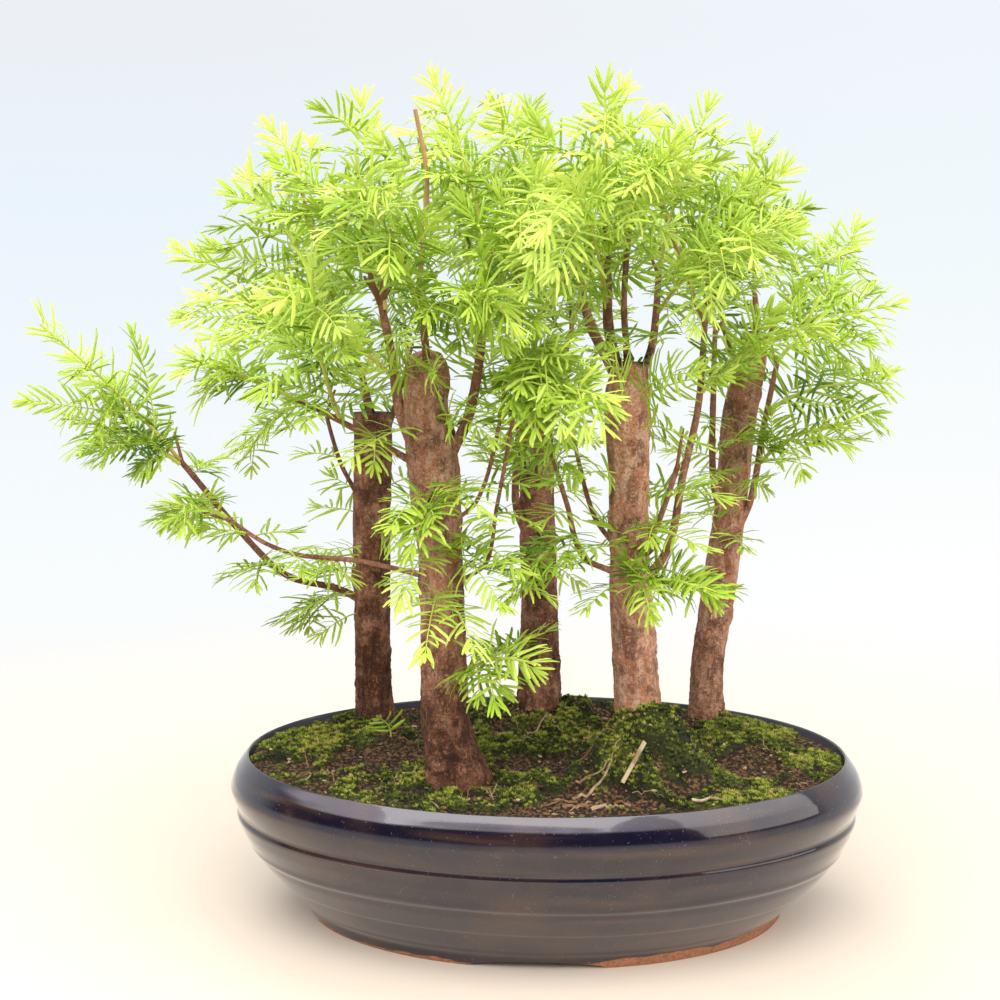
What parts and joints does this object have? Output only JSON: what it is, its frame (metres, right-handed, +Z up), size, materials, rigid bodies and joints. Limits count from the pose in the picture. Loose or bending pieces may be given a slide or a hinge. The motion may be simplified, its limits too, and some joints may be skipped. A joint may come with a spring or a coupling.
{
  "type": "dawn redwood bonsai forest",
  "caption": "Bonsai forest of cut-back dawn redwood trunks with soft green leafy shoots, growing in mossy soil in an oval navy-glazed tray.",
  "frame": {"origin": "on the surface it stands on, under the middle of the whole object's box; the tray's middle is 32.5 mm towards +X and 4.5 mm towards -Y from there", "axes": "+Z up, +X to the right along the tray's length, -Y towards the front of the planting"},
  "size_m": [0.4185, 0.2738, 0.3868],
  "materials": {
    "glaze": "deep navy gloss glaze with brown breaks on the ridges, bare terracotta foot",
    "mossy_soil": "dark damp soil under green and olive moss",
    "screen_plastic": "black plastic mesh",
    "bark": "reddish-brown fibrous bark with grey flakes",
    "dead_wood": "pale dry wood",
    "needles": "soft satin yellow-green needles on green stems"
  },
  "bodies": {
    "root": {"tray": "glaze", "soil": "mossy_soil", "drain_screen_left": "screen_plastic", "drain_screen_right": "screen_plastic", "tree_back_left": "bark", "tree_front_left": "bark", "tree_back_centre": "bark", "tree_front_right": "bark", "tree_back_right": "bark", "stick": "dead_wood", "seedling": "needles", "shoot_back_left_01": "needles", "shoot_back_left_02": "needles", "shoot_back_left_03": "needles", "shoot_back_left_04": "needles", "shoot_back_left_05": "needles", "shoot_back_left_06": "needles", "shoot_back_left_07": "needles", "shoot_back_left_08": "needles", "shoot_back_left_09": "needles", "shoot_back_left_10": "needles", "shoot_back_left_11": "needles", "shoot_front_left_01": "needles", "shoot_front_left_02": "needles", "shoot_front_left_03": "needles", "shoot_front_left_04": "needles", "shoot_front_left_05": "needles", "shoot_front_left_06": "needles", "shoot_front_left_07": "needles", "shoot_front_left_08": "needles", "shoot_front_left_09": "needles", "shoot_front_left_10": "needles", "shoot_front_left_11": "needles", "shoot_front_left_12": "needles", "shoot_front_left_13": "needles", "shoot_front_left_14": "needles", "shoot_back_centre_01": "needles", "shoot_back_centre_02": "needles", "shoot_back_centre_03": "needles", "shoot_back_centre_04": "needles", "shoot_back_centre_05": "needles", "shoot_back_centre_06": "needles", "shoot_front_right_01": "needles", "shoot_front_right_02": "needles", "shoot_front_right_03": "needles", "shoot_front_right_04": "needles", "shoot_front_right_05": "needles", "shoot_front_right_06": "needles", "shoot_front_right_07": "needles", "shoot_front_right_08": "needles", "shoot_front_right_09": "needles", "shoot_front_right_10": "needles", "shoot_front_right_11": "needles", "shoot_back_right_01": "needles", "shoot_back_right_02": "needles", "shoot_back_right_03": "needles", "shoot_back_right_04": "needles", "shoot_back_right_05": "needles", "shoot_back_right_06": "needles", "shoot_back_right_07": "needles"}
  },
  "joints": []
}
